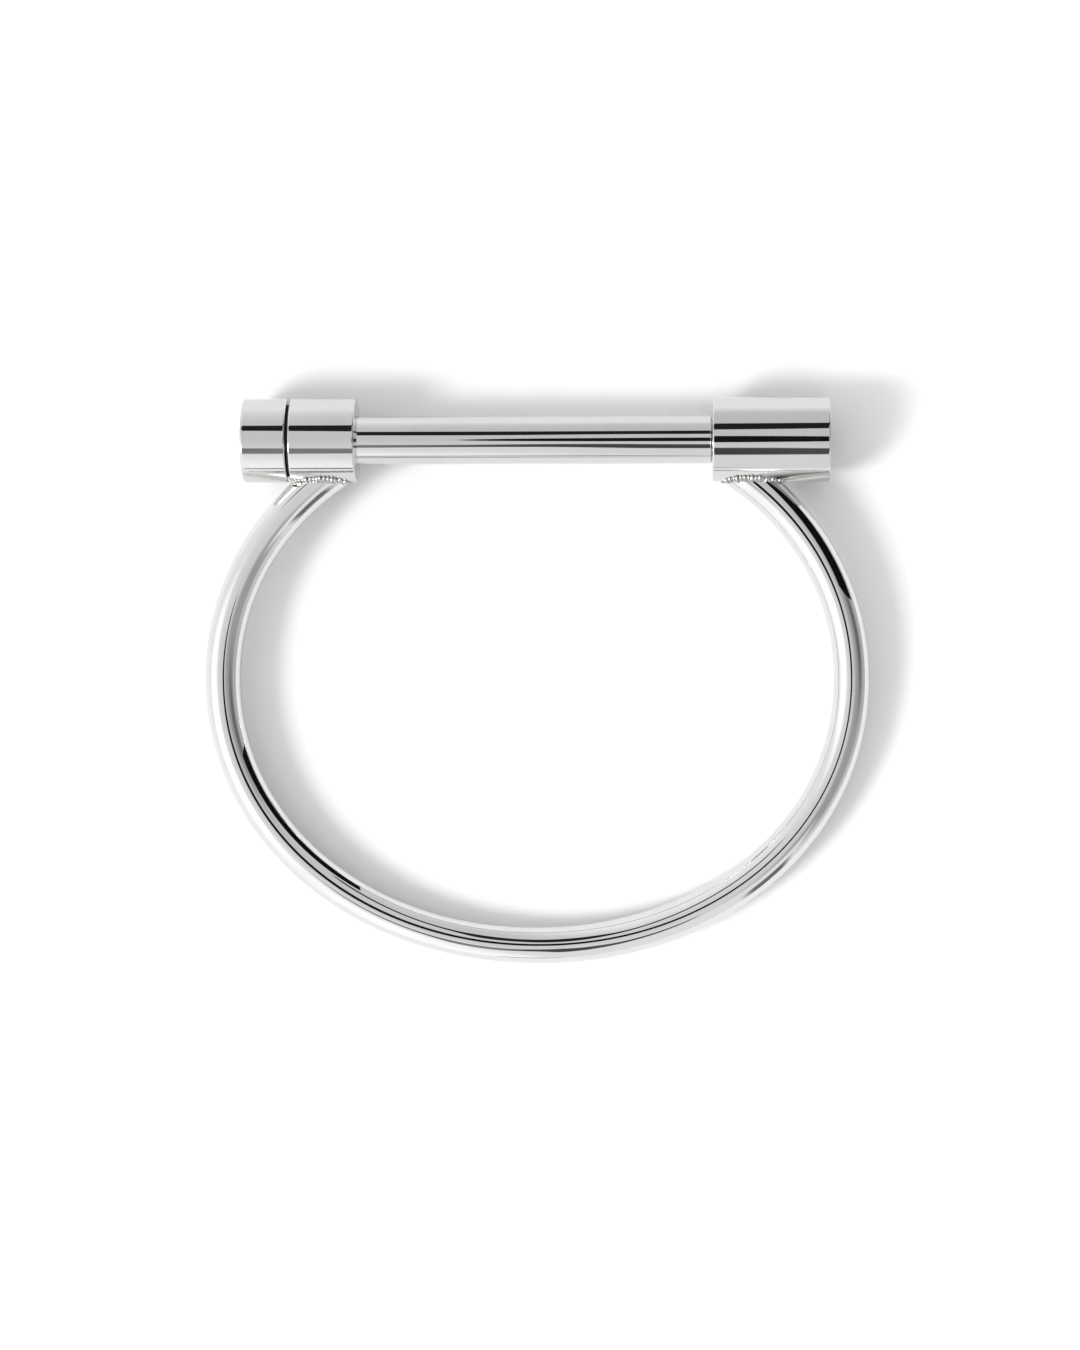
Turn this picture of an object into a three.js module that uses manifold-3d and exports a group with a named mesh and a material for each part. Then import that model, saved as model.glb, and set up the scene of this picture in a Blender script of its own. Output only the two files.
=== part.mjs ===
// A D-shaped screw-bar shackle: a bent round-rod bow welded to two short barrels, closed by
// a round bar that slides through the left barrel and screws into the right one.
// Millimetres. The shackle lies flat on its bow and barrels: +X runs along the bar towards
// the threaded barrel, +Y from the bow towards the bar, +Z up. The origin is the middle of
// the footprint, on the surface that it lies on.
import * as THREE from 'three';
import { mergeVertices } from 'three/addons/utils/BufferGeometryUtils.js';
import Module from 'manifold-3d';

const wasm = await Module();
wasm.setup();

// Stock and overall length.
const BARREL_RADIUS = 4.5;
const BAR_RADIUS = 2.55;
const ROD_RADIUS = 1.95;
const HALF_LENGTH = 31.2;

// What follows along the bar, from its head to the threaded barrel.
const HEAD_LENGTH = 4.8;
const HEAD_GAP = 0.3;
const GUIDE_LENGTH = 7;
const THREADED_LENGTH = 12.4;

// The bow's centreline: a superellipse, a little squarer than an ellipse.
const BOW_HALF_WIDTH = 33.6;
const BOW_HALF_DEPTH = 28.55;
const BOW_CENTRE_DEPTH = 25.5;
const BOW_SQUARENESS = 2.05;

// Fits and edges.
const BORE_CLEARANCE = 0.1;
const SEAT_GAP = 0.02;
const WELD_GAP = 0.03;
const BARREL_CHAMFER = 0.15;
const HEAD_CHAMFER = 0.2;
const SHOULDER_CHAMFER = 0.18;

// The stud is an M4 coarse thread in a plain blind hole that clears it.
const STUD_RADIUS = 2;
const STUD_LENGTH = 7;
const THREAD_PITCH = 0.7;
const THREAD_DEPTH = 0.38;
const UNDERCUT_LENGTH = 0.6;
const STUD_CHAMFER = 0.5;
const TAP_CLEARANCE = 0.07;
const TAP_DEPTH = 8;

// The spigot that the head is pressed on, the washer under the head and the weld beads.
const SPIGOT_RADIUS = 1.6;
const SPIGOT_LENGTH = 3;
const WASHER_OUTER_RADIUS = 3.85;
const WASHER_THICKNESS = 0.24;
const WELD_RADIUS = 0.65;

// How finely the round pieces are faceted.
const ROUND_SEGMENTS = 64;
const STUD_SEGMENTS = 36;
const RINGS_PER_PITCH = 6;
const ROD_SIDES = 24;
const BOW_STEPS = 120;
const WELD_SIDES = 10;
const WELD_SEGMENTS = 40;

// Stations along the bar, measured from the middle of the shackle.
const HEAD_OUTER_X = -HALF_LENGTH;
const HEAD_INNER_X = HEAD_OUTER_X + HEAD_LENGTH;
const GUIDE_OUTER_X = HEAD_INNER_X + HEAD_GAP;
const GUIDE_INNER_X = GUIDE_OUTER_X + GUIDE_LENGTH;
const THREADED_OUTER_X = HALF_LENGTH;
const THREADED_INNER_X = THREADED_OUTER_X - THREADED_LENGTH;
const BAR_SHOULDER_X = THREADED_INNER_X - SEAT_GAP;
const BORE_RADIUS = BAR_RADIUS + BORE_CLEARANCE;

// The rod runs this far below the bar's axis before its coped end, inside the barrel.
const ROD_END_DEPTH = 2.5;

const POLISHED_STEEL = { color: 0xc9c8c4, roughness: 0.14, metalness: 1 };
const BRUSHED_STEEL = { color: 0xbdbcb8, roughness: 0.28, metalness: 1 };
const WELD_STEEL = { color: 0xb4b2ad, roughness: 0.3, metalness: 1 };
const BLACK_NYLON = { color: 0x141414, roughness: 0.6, metalness: 0 };

function named(name, geometry, finish) {
  const mesh = new THREE.Mesh(geometry, new THREE.MeshStandardMaterial(finish));
  mesh.name = name;
  return mesh;
}

// A closed geometry as a manifold-3d solid.
function toSolid(geometry) {
  const bare = geometry.clone();
  bare.deleteAttribute('normal');
  bare.deleteAttribute('uv');
  const merged = mergeVertices(bare, 1e-4);
  return new wasm.Manifold(new wasm.Mesh({
    numProp: 3,
    vertProperties: new Float32Array(merged.attributes.position.array),
    triVerts: new Uint32Array(merged.index.array),
  }));
}

function toGeometry(solid) {
  const mesh = solid.getMesh();
  const geometry = new THREE.BufferGeometry();
  geometry.setAttribute('position', new THREE.BufferAttribute(mesh.vertProperties, 3));
  geometry.setIndex(new THREE.BufferAttribute(mesh.triVerts, 1));
  geometry.computeVertexNormals();
  return geometry;
}

// A piece turned about the bar's axis. The profile lists [x, radius] from left to right.
function turned(profile, segments = ROUND_SEGMENTS) {
  const points = profile.map(([x, radius]) => new THREE.Vector2(radius, x));
  return new THREE.LatheGeometry(points, segments).rotateZ(-Math.PI / 2);
}

// The line of a plain round wall from left to right, with a chamfer at both rims: inwards on
// a shaft, and outwards on a bore.
function chamferedWall(left, right, radius, chamfer, rimRadius = radius - chamfer) {
  return [
    [left, rimRadius],
    [left + chamfer, radius],
    [right - chamfer, radius],
    [right, rimRadius],
  ];
}

function guideBarrel() {
  const mouthRadius = BORE_RADIUS + BARREL_CHAMFER;
  const outside = chamferedWall(GUIDE_OUTER_X, GUIDE_INNER_X, BARREL_RADIUS, BARREL_CHAMFER);
  const bore = chamferedWall(
    GUIDE_OUTER_X, GUIDE_INNER_X, BORE_RADIUS, BARREL_CHAMFER, mouthRadius,
  );
  const profile = [...outside, ...bore.reverse(), outside[0]];
  return named('guide_barrel', turned(profile), POLISHED_STEEL);
}

function threadedBarrel() {
  const tapRadius = STUD_RADIUS + TAP_CLEARANCE;
  const floorX = THREADED_INNER_X + TAP_DEPTH;
  const drillPointX = floorX + tapRadius / 2;
  const profile = [
    [drillPointX, 0],
    [floorX, tapRadius],
    [THREADED_INNER_X + BARREL_CHAMFER, tapRadius],
    [THREADED_INNER_X, tapRadius + BARREL_CHAMFER],
    ...chamferedWall(THREADED_INNER_X, THREADED_OUTER_X, BARREL_RADIUS, BARREL_CHAMFER),
    [THREADED_OUTER_X, 0],
  ];
  return named('threaded_barrel', turned(profile), POLISHED_STEEL);
}

// The head, with the blind hole that takes the bar's spigot.
function barHead() {
  const holeRadius = SPIGOT_RADIUS + SEAT_GAP;
  const profile = [
    [HEAD_OUTER_X, 0],
    ...chamferedWall(HEAD_OUTER_X, HEAD_INNER_X, BARREL_RADIUS, HEAD_CHAMFER),
    [HEAD_INNER_X, holeRadius],
    [HEAD_INNER_X - SPIGOT_LENGTH, holeRadius],
    [HEAD_INNER_X - SPIGOT_LENGTH, 0],
  ];
  return named('bar_head', turned(profile), POLISHED_STEEL);
}

function frictionWasher() {
  const left = HEAD_INNER_X + (HEAD_GAP - WASHER_THICKNESS) / 2;
  const right = left + WASHER_THICKNESS;
  const profile = [
    [left, BORE_RADIUS],
    [left, WASHER_OUTER_RADIUS],
    [right, WASHER_OUTER_RADIUS],
    [right, BORE_RADIUS],
    [left, BORE_RADIUS],
  ];
  return named('friction_washer', turned(profile), BLACK_NYLON);
}

// How deep the thread is cut at a point: 0 on the flat crest, 1 at the bottom of the groove.
function threadGroove(x, angle) {
  const phase = x / THREAD_PITCH + angle / (2 * Math.PI);
  const alongPitch = phase - Math.floor(phase);
  const fromGroove = Math.abs(alongPitch - 0.5) * 2;
  return Math.min(1, Math.max(0, 1.15 - 1.3 * fromGroove));
}

// Sinks a helical groove into the turned stretch between two stations on the X axis.
function cutThread(geometry, startX, endX) {
  const position = geometry.attributes.position;
  for (let i = 0; i < position.count; i += 1) {
    const [x, y, z] = [position.getX(i), position.getY(i), position.getZ(i)];
    if (x > startX && x < endX) {
      const scale = 1 - THREAD_DEPTH * threadGroove(x, Math.atan2(z, y)) / STUD_RADIUS;
      position.setXYZ(i, x, y * scale, z * scale);
    }
  }
}

// The bar, from its spigot in the head to the chamfered tip of its threaded stud.
function screwBar() {
  const tipX = BAR_SHOULDER_X + STUD_LENGTH;
  const threadStartX = BAR_SHOULDER_X + UNDERCUT_LENGTH;
  const threadEndX = tipX - STUD_CHAMFER;
  const rootRadius = STUD_RADIUS - THREAD_DEPTH;
  const rings = Math.round((threadEndX - threadStartX) / THREAD_PITCH * RINGS_PER_PITCH);
  const profile = [
    [HEAD_INNER_X - SPIGOT_LENGTH + SEAT_GAP, 0],
    [HEAD_INNER_X - SPIGOT_LENGTH + SEAT_GAP, SPIGOT_RADIUS],
    [HEAD_INNER_X + SEAT_GAP, SPIGOT_RADIUS],
    [HEAD_INNER_X + SEAT_GAP, BAR_RADIUS],
    [BAR_SHOULDER_X - SHOULDER_CHAMFER, BAR_RADIUS],
    [BAR_SHOULDER_X, BAR_RADIUS - SHOULDER_CHAMFER],
    [BAR_SHOULDER_X, rootRadius],
    [threadStartX, rootRadius],
  ];
  for (let ring = 1; ring < rings; ring += 1) {
    profile.push([threadStartX + (threadEndX - threadStartX) * ring / rings, STUD_RADIUS]);
  }
  profile.push([threadEndX, rootRadius], [tipX, rootRadius - STUD_CHAMFER], [tipX, 0]);
  const geometry = turned(profile, STUD_SEGMENTS);
  cutThread(geometry, threadStartX + 1e-3, threadEndX - 1e-3);
  return named('screw_bar', geometry, POLISHED_STEEL);
}

// The bow's centreline in the shackle's own plane, with the bar's axis at y = 0.
class BowCentreline extends THREE.Curve {
  constructor(endDepth) {
    super();
    const endHeight = (BOW_CENTRE_DEPTH - endDepth) / BOW_HALF_DEPTH;
    this.endAngle = Math.asin(endHeight ** (BOW_SQUARENESS / 2));
  }

  getPoint(t, target = new THREE.Vector3()) {
    const angle = Math.PI + (2 * t - 1) * (Math.PI / 2 + this.endAngle) + Math.PI / 2;
    const power = (value) => Math.sign(value) * Math.abs(value) ** (2 / BOW_SQUARENESS);
    const x = BOW_HALF_WIDTH * power(Math.cos(angle));
    const y = BOW_HALF_DEPTH * power(Math.sin(angle)) - BOW_CENTRE_DEPTH;
    return target.set(x, y, 0);
  }
}

// A plain cylinder as long as a barrel and a little fatter, to cut what meets the barrel.
function barrelCutter(left, right) {
  const radius = BARREL_RADIUS + WELD_GAP;
  return toSolid(turned([[left, 0], [left, radius], [right, radius], [right, 0]]));
}

function roundSection(radius) {
  return new THREE.Shape().absarc(0, 0, radius, 0, 2 * Math.PI, false);
}

// The bent rod before its ends are coped, at its own radius or fatter as a cutter.
function bentRod(radius) {
  return toSolid(new THREE.ExtrudeGeometry(roundSection(radius), {
    extrudePath: new BowCentreline(ROD_END_DEPTH),
    steps: BOW_STEPS,
    curveSegments: ROD_SIDES / 2,
  }));
}

function bow() {
  const solid = bentRod(ROD_RADIUS)
    .subtract(barrelCutter(GUIDE_OUTER_X, GUIDE_INNER_X))
    .subtract(barrelCutter(THREADED_INNER_X, THREADED_OUTER_X));
  return named('bow', toGeometry(solid), BRUSHED_STEEL);
}

// A ring of weld round the rod where it meets a barrel, dressed flush with the barrel's left
// end. side is -1 at the guide barrel and 1 at the threaded one.
function weld(name, side, left, right) {
  const line = new BowCentreline(BARREL_RADIUS);
  const meeting = line.getPoint(side < 0 ? 0 : 1);
  const inward = line.getTangent(side < 0 ? 0 : 1).multiplyScalar(side);
  const across = new THREE.Vector3(-inward.y, inward.x, 0);
  const up = new THREE.Vector3(0, 0, 1);
  const frame = new THREE.Matrix4().makeBasis(across, up, inward);

  const ring = new THREE.TorusGeometry(ROD_RADIUS, WELD_RADIUS, WELD_SIDES, WELD_SEGMENTS);
  ring.applyMatrix4(frame);
  const position = ring.attributes.position;
  for (let i = 0; i < position.count; i += 1) {
    const point = new THREE.Vector3().fromBufferAttribute(position, i);
    const around = point.clone().addScaledVector(inward, -point.dot(inward)).setLength(ROD_RADIUS);
    const surfaceY = -Math.sqrt(BARREL_RADIUS ** 2 - around.z ** 2);
    const slide = (surfaceY - meeting.y - around.y) / inward.y;
    point.addScaledVector(inward, slide).add(meeting);
    position.setXYZ(i, point.x, point.y, point.z);
  }
  const pastTheEnd = new THREE.BoxGeometry(HEAD_LENGTH, 4 * BARREL_RADIUS, 2 * BARREL_RADIUS);
  pastTheEnd.translate(left - HEAD_LENGTH / 2 + BARREL_CHAMFER, 0, 0);
  const bead = toSolid(ring)
    .subtract(bentRod(ROD_RADIUS + WELD_GAP))
    .subtract(barrelCutter(left, right))
    .subtract(toSolid(pastTheEnd));
  return named(name, toGeometry(bead), WELD_STEEL);
}

// The shackle rests on its barrels and on the bottom of its bow, so its plane is tilted.
function lyingFlat(pieces) {
  const reach = BOW_CENTRE_DEPTH + BOW_HALF_DEPTH;
  const tilt = Math.asin((BARREL_RADIUS - ROD_RADIUS) / reach);
  const nearY = reach * Math.cos(tilt) + ROD_RADIUS;
  const group = new THREE.Group();
  group.add(...pieces);
  group.rotation.x = tilt;
  group.position.set(0, (nearY - BARREL_RADIUS) / 2, BARREL_RADIUS);
  return group;
}

const group = new THREE.Group();
group.add(lyingFlat([
  bow(),
  guideBarrel(),
  threadedBarrel(),
  weld('guide_weld', -1, GUIDE_OUTER_X, GUIDE_INNER_X),
  weld('threaded_weld', 1, THREADED_INNER_X, THREADED_OUTER_X),
  screwBar(),
  barHead(),
  frictionWasher(),
]));

export default group;
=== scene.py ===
# %% [markdown]
# # A polished D-shaped screw-bar shackle
# A bent rod (the bow) is welded to two short barrels. A bar slides through one barrel and
# screws into the other. The CAD frame gives every place and size, and this script makes the
# fine surfaces, the metal and the studio round it. It works in metres.

# %% Load the frame
import math

import bmesh
import bpy
from mathutils import Matrix, Vector


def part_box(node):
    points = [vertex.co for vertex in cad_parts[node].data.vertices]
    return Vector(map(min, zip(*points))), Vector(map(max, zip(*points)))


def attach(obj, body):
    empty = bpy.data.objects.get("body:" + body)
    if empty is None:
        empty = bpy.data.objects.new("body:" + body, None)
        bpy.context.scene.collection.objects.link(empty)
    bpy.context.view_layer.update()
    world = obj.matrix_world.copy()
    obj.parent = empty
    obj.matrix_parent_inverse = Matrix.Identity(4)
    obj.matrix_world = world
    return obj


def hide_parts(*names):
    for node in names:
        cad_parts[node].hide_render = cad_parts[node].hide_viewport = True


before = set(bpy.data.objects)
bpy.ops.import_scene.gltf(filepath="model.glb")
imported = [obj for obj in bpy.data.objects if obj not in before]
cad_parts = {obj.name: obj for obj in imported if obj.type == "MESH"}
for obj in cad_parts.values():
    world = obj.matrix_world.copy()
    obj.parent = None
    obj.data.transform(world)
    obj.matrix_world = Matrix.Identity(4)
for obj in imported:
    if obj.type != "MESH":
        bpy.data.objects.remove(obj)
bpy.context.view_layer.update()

MM = 0.001

# %% [markdown]
# ## Reading the frame
# Each turned piece is centred on the bar's axis, so the head's box gives that axis. A slice
# through the middle of the bow gives the rod's radius and how far the bow reaches. The two
# together give the small tilt at which the shackle lies on its barrels and its bow.

# %% Measure the frame
HEAD_LOW, HEAD_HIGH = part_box("bar_head")
AXIS_Y = (HEAD_LOW.y + HEAD_HIGH.y) / 2
AXIS_Z = (HEAD_LOW.z + HEAD_HIGH.z) / 2
BARREL_RADIUS = (HEAD_HIGH.y - HEAD_LOW.y) / 2


def middle_slice(node, half_thickness=0.8 * MM):
    """The lowest and highest corners of a node's points near the plane x = 0."""
    points = [v.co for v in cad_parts[node].data.vertices if abs(v.co.x) < half_thickness]
    low = Vector([min(p[i] for p in points) for i in range(3)])
    high = Vector([max(p[i] for p in points) for i in range(3)])
    return low, high


SLICE_LOW, SLICE_HIGH = middle_slice("bow")
ROD_RADIUS = (SLICE_HIGH.z - SLICE_LOW.z) / 2
FOOT_Y = SLICE_LOW.y + ROD_RADIUS
FOOT_Z = SLICE_LOW.z + ROD_RADIUS
REACH = math.hypot(AXIS_Y - FOOT_Y, AXIS_Z - FOOT_Z)
TILT = math.asin((AXIS_Z - FOOT_Z) / REACH)
LYING = Matrix.Translation((0, AXIS_Y, AXIS_Z)) @ Matrix.Rotation(TILT, 4, "X")
BOW_HALF_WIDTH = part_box("bow")[1].x - ROD_RADIUS
BAR_RADIUS = middle_slice("screw_bar", 40 * MM)[1].z - AXIS_Z
print(f"rod radius {ROD_RADIUS / MM:.2f} mm, reach {REACH / MM:.2f} mm")
print(f"tilt {math.degrees(TILT):.2f} deg")
print(f"barrel radius {BARREL_RADIUS / MM:.2f} mm, bar radius {BAR_RADIUS / MM:.2f} mm")

# %% [markdown]
# ## Small helpers for node trees
# Geometry and shader trees are long when written out node by node. These helpers add a node,
# join two sockets and do one sum, so that each recipe below reads as its own formula.


# %% Node helpers
def add(tree, kind, **settings):
    """A new node of that kind, with its properties set."""
    node = tree.nodes.new(kind)
    for name, value in settings.items():
        setattr(node, name, value)
    return node


def feed(tree, socket, value):
    """Joins another node's output to a socket, or sets the socket to a plain value."""
    if isinstance(value, bpy.types.NodeSocket):
        tree.links.new(value, socket)
    elif value is not None:
        socket.default_value = value


def calc(tree, operation, first, second=None, third=None):
    """The result of one Math node."""
    node = add(tree, "ShaderNodeMath", operation=operation)
    for socket, value in zip(node.inputs, (first, second, third)):
        feed(tree, socket, value)
    return node.outputs[0]


def vector_calc(tree, operation, first, second=None, output=0):
    """The result of one Vector Math node."""
    node = add(tree, "ShaderNodeVectorMath", operation=operation)
    for socket, value in zip(node.inputs, (first, second)):
        feed(tree, socket, value)
    return node.outputs[output]


def join_xyz(tree, x, y, z):
    """A vector from three numbers."""
    node = add(tree, "ShaderNodeCombineXYZ")
    for socket, value in zip(node.inputs, (x, y, z)):
        feed(tree, socket, value)
    return node.outputs[0]


def noise(tree, vector, scale, detail, roughness=0.5, distortion=0.0):
    """The grey value of a noise texture."""
    node = add(tree, "ShaderNodeTexNoise")
    for name, value in (("Vector", vector), ("Scale", scale), ("Detail", detail),
                        ("Roughness", roughness), ("Distortion", distortion)):
        feed(tree, node.inputs[name], value)
    return node.outputs["Fac"]


def ease(tree, value, low, high):
    """0 where value is at low and 1 where it is at high, with a smooth step between."""
    node = add(tree, "ShaderNodeMapRange", interpolation_type="SMOOTHSTEP")
    for name, number in (("Value", value), ("From Min", low), ("From Max", high)):
        feed(tree, node.inputs[name], number)
    return node.outputs["Result"]


def new_group(name, kind, inputs, outputs):
    """A node group with named sockets: each is a name, a socket type and a default."""
    tree = bpy.data.node_groups.new(name, kind)
    for direction, sockets in (("INPUT", inputs), ("OUTPUT", outputs)):
        for socket_name, socket_type, default in sockets:
            socket = tree.interface.new_socket(socket_name, in_out=direction,
                                               socket_type=socket_type)
            if default is not None:
                socket.default_value = default
    return tree, add(tree, "NodeGroupInput"), add(tree, "NodeGroupOutput")


def use_group(tree, group, **values):
    """Places a shader group and fills its inputs; a name's underscores stand for spaces."""
    node = add(tree, "ShaderNodeGroup", node_tree=group)
    for name, value in values.items():
        feed(tree, node.inputs[name.replace("_", " ")], value)
    return node


# %% [markdown]
# ## Shared surface effects
# Polished steel is never perfect. Up close it has fine scratches from the polishing wheel, a
# slow waviness left by the belt, and faint smears where fingers have held it. Each effect is a
# node group that is built once. Every metal below places it with its own sizes.

# %% Effect: polishing scratches
scratches, inside, outside = new_group(
    "polishing scratches", "ShaderNodeTree",
    [("Vector", "NodeSocketVector", None)],
    [("Height", "NodeSocketFloat", None), ("Mask", "NodeSocketFloat", None)],
)
fine = noise(scratches, inside.outputs["Vector"], 1.0, 5.0, roughness=0.7)
feed(scratches, outside.inputs["Height"], fine)
feed(scratches, outside.inputs["Mask"], ease(scratches, fine, 0.6, 0.78))
print("made the effect:", scratches.name)

# %% Effect: waviness and smears
handling, inside, outside = new_group(
    "waviness and smears", "ShaderNodeTree",
    [("Vector", "NodeSocketVector", None), ("Wave Scale", "NodeSocketFloat", 60.0),
     ("Ripple Scale", "NodeSocketFloat", 1400.0), ("Smear Scale", "NodeSocketFloat", 220.0)],
    [("Wave", "NodeSocketFloat", None), ("Ripple", "NodeSocketFloat", None),
     ("Smear", "NodeSocketFloat", None)],
)
given = inside.outputs
wave = noise(handling, given["Vector"], given["Wave Scale"], 1.0)
ripple = noise(handling, given["Vector"], given["Ripple Scale"], 2.0)
smear = noise(handling, given["Vector"], given["Smear Scale"], 6.0, 0.62, 0.6)
feed(handling, outside.inputs["Wave"], wave)
feed(handling, outside.inputs["Ripple"], ripple)
feed(handling, outside.inputs["Smear"], ease(handling, smear, 0.42, 0.72))
print("made the effect:", handling.name)

# %% [markdown]
# ## The metals
# All of the shackle is one steel, but each piece is finished in its own way. The turned pieces
# keep faint rings from the lathe, the bow keeps long drawn lines that follow the rod, and the
# weld is cast metal that was only brushed. A Principled shader with Metallic at 1 does the
# rest, and its colour, roughness and bump come from the effects.


# %% Metal recipe
def metal(name, tone, roughness, grain, wave_height, ripple_height, scratch_height, coordinates):
    """A polished steel whose scratches are stretched by grain, along x, y and z."""
    material = bpy.data.materials.new(name)
    material.use_nodes = True
    tree = material.node_tree
    shader = tree.nodes["Principled BSDF"]
    shader.inputs["Metallic"].default_value = 1.0
    place = coordinates(tree)
    mapping = add(tree, "ShaderNodeMapping")
    feed(tree, mapping.inputs["Vector"], place)
    feed(tree, mapping.inputs["Scale"], grain)
    lines = use_group(tree, scratches, Vector=mapping.outputs["Vector"])
    touch = use_group(tree, handling, Vector=place)

    dull = calc(tree, "MULTIPLY", touch.outputs["Smear"], 0.5)
    dull = calc(tree, "MULTIPLY_ADD", lines.outputs["Mask"], 0.5, dull)
    rough = calc(tree, "MULTIPLY_ADD", dull, roughness * 0.9, roughness)
    feed(tree, shader.inputs["Roughness"], rough)

    shade = add(tree, "ShaderNodeMix", data_type="RGBA")
    feed(tree, shade.inputs["Factor"], calc(tree, "MULTIPLY", dull, 0.6))
    feed(tree, shade.inputs["A"], (*tone, 1.0))
    feed(tree, shade.inputs["B"], (*[channel * 0.9 for channel in tone], 1.0))
    feed(tree, shader.inputs["Base Color"], shade.outputs["Result"])

    height = calc(tree, "MULTIPLY", touch.outputs["Wave"], wave_height)
    height = calc(tree, "MULTIPLY_ADD", touch.outputs["Ripple"], ripple_height, height)
    height = calc(tree, "MULTIPLY_ADD", lines.outputs["Height"], scratch_height, height)
    relief = add(tree, "ShaderNodeBump")
    feed(tree, relief.inputs["Distance"], 1.0)
    feed(tree, relief.inputs["Height"], height)
    feed(tree, shader.inputs["Normal"], relief.outputs["Normal"])
    return material


def object_place(tree):
    """Object coordinates, centred on the bar's axis so that a pattern can run round it."""
    centre = add(tree, "ShaderNodeMapping", vector_type="POINT")
    feed(tree, centre.inputs["Vector"], add(tree, "ShaderNodeTexCoord").outputs["Object"])
    feed(tree, centre.inputs["Location"], (0, -AXIS_Y, -AXIS_Z))
    return centre.outputs["Vector"]


def along_the_rod(tree):
    """The place on the rod: how far along it, and where on its round section."""
    attribute = add(tree, "ShaderNodeAttribute", attribute_name="rod_place")
    return attribute.outputs["Vector"]


BOW_TONE = (0.72, 0.72, 0.71)
TURNED_TONE = (0.64, 0.64, 0.63)
WELD_TONE = (0.46, 0.46, 0.45)
turned_steel = metal("turned_steel", TURNED_TONE, 0.022, (14000, 900, 900), 0.006 * MM,
                     0.0008 * MM, 0.0001 * MM, object_place)
bar_steel = metal("bar_steel", TURNED_TONE, 0.02, (9000, 900, 900), 0.004 * MM, 0.0005 * MM,
                  0.00008 * MM, object_place)
bow_steel = metal("bow_steel", BOW_TONE, 0.025, (160, 6000, 6000), 0.003 * MM, 0.0006 * MM,
                  0.00012 * MM, along_the_rod)
weld_steel = metal("weld_steel", WELD_TONE, 0.11, (2600, 2600, 2600), 0.02 * MM, 0.03 * MM,
                   0.003 * MM, object_place)
print("metals:", [m.name for m in (turned_steel, bar_steel, bow_steel, weld_steel)])

# %% [markdown]
# ## The washer's painted shade
# The thin washer under the head is coloured near black, which paints the shade of the narrow
# gap between the head and the guide barrel as a dark line. Its colour mottles between near
# black and dark grey by a fine noise, and its satin roughness and faint bump follow that noise.

# %% Washer material
washer_nylon = bpy.data.materials.new("washer_nylon")
washer_nylon.use_nodes = True
washer_tree = washer_nylon.node_tree
washer_shader = washer_tree.nodes["Principled BSDF"]
washer_place = add(washer_tree, "ShaderNodeTexCoord").outputs["Object"]
mottle = noise(washer_tree, washer_place, 1800.0, 4.0)
# Near black paints the narrow gap's shade as a dark line; the grey mottle over it is random tone.
painted_shade_colour = add(washer_tree, "ShaderNodeMix", data_type="RGBA")
feed(washer_tree, painted_shade_colour.inputs["Factor"], mottle)
feed(washer_tree, painted_shade_colour.inputs["A"], (0.006, 0.006, 0.006, 1))
feed(washer_tree, painted_shade_colour.inputs["B"], (0.03, 0.03, 0.03, 1))
feed(washer_tree, washer_shader.inputs["Base Color"], painted_shade_colour.outputs["Result"])
satin = calc(washer_tree, "MULTIPLY_ADD", mottle, 0.3, 0.4)
feed(washer_tree, washer_shader.inputs["Roughness"], satin)
pebble = add(washer_tree, "ShaderNodeBump")
feed(washer_tree, pebble.inputs["Distance"], 0.005 * MM)
feed(washer_tree, pebble.inputs["Height"], mottle)
feed(washer_tree, washer_shader.inputs["Normal"], pebble.outputs["Normal"])
print("washer material:", washer_nylon.name)

# %% [markdown]
# ## Turned pieces
# The barrels, the head, the bar and the washer all come off a lathe, so each is an outline
# swept once round the bar's axis. A modifier could do that, but a short loop gives control of
# the rings: each corner becomes a small arc with a support ring on either side, which keeps
# the flat faces flat in a mirror finish. The same loop can sink a thread, because a thread is
# only a radius that changes with the angle.


# %% Lathe helper
ROUND_STEPS = 192
CORNER_STEPS = 5
SUPPORT_REACH = 1.35    # how far past a corner's arc its support rings stand
ON_AXIS = 1e-9


def rounded(outline, radii):
    """An open outline of (x, r) points whose corners are replaced by arcs of those radii."""
    points = [Vector(p) for p in outline]
    made = [points[0]]
    for before, corner, after, radius in zip(points, points[1:], points[2:], radii):
        back = (before - corner).normalized()
        ahead = (after - corner).normalized()
        if radius == 0:
            made.append(corner)
            continue
        half = math.acos(max(-1, min(1, back.dot(ahead)))) / 2
        reach = radius / math.tan(half)
        centre = corner + (back + ahead).normalized() * radius / math.sin(half)
        start = corner + back * reach - centre
        end = corner + ahead * reach - centre
        sweep = start.angle_signed(end)
        made.append(corner + back * reach * SUPPORT_REACH)
        for step in range(CORNER_STEPS + 1):
            turn = Matrix.Rotation(-sweep * step / CORNER_STEPS, 2)
            made.append(centre + turn @ start)
        made.append(corner + ahead * reach * SUPPORT_REACH)
    made.append(points[-1])
    return made


def finish_mesh(name, vertices, faces, material):
    """A smooth mesh object from points in the shackle's own frame, laid in the row frame."""
    mesh = bpy.data.meshes.new(name)
    mesh.from_pydata([LYING @ Vector(v) for v in vertices], [], faces)
    mesh.validate()
    mesh.polygons.foreach_set("use_smooth", [True] * len(mesh.polygons))
    mesh.materials.append(material)
    piece = bpy.data.objects.new(name, mesh)
    bpy.context.scene.collection.objects.link(piece)
    return piece


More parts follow.
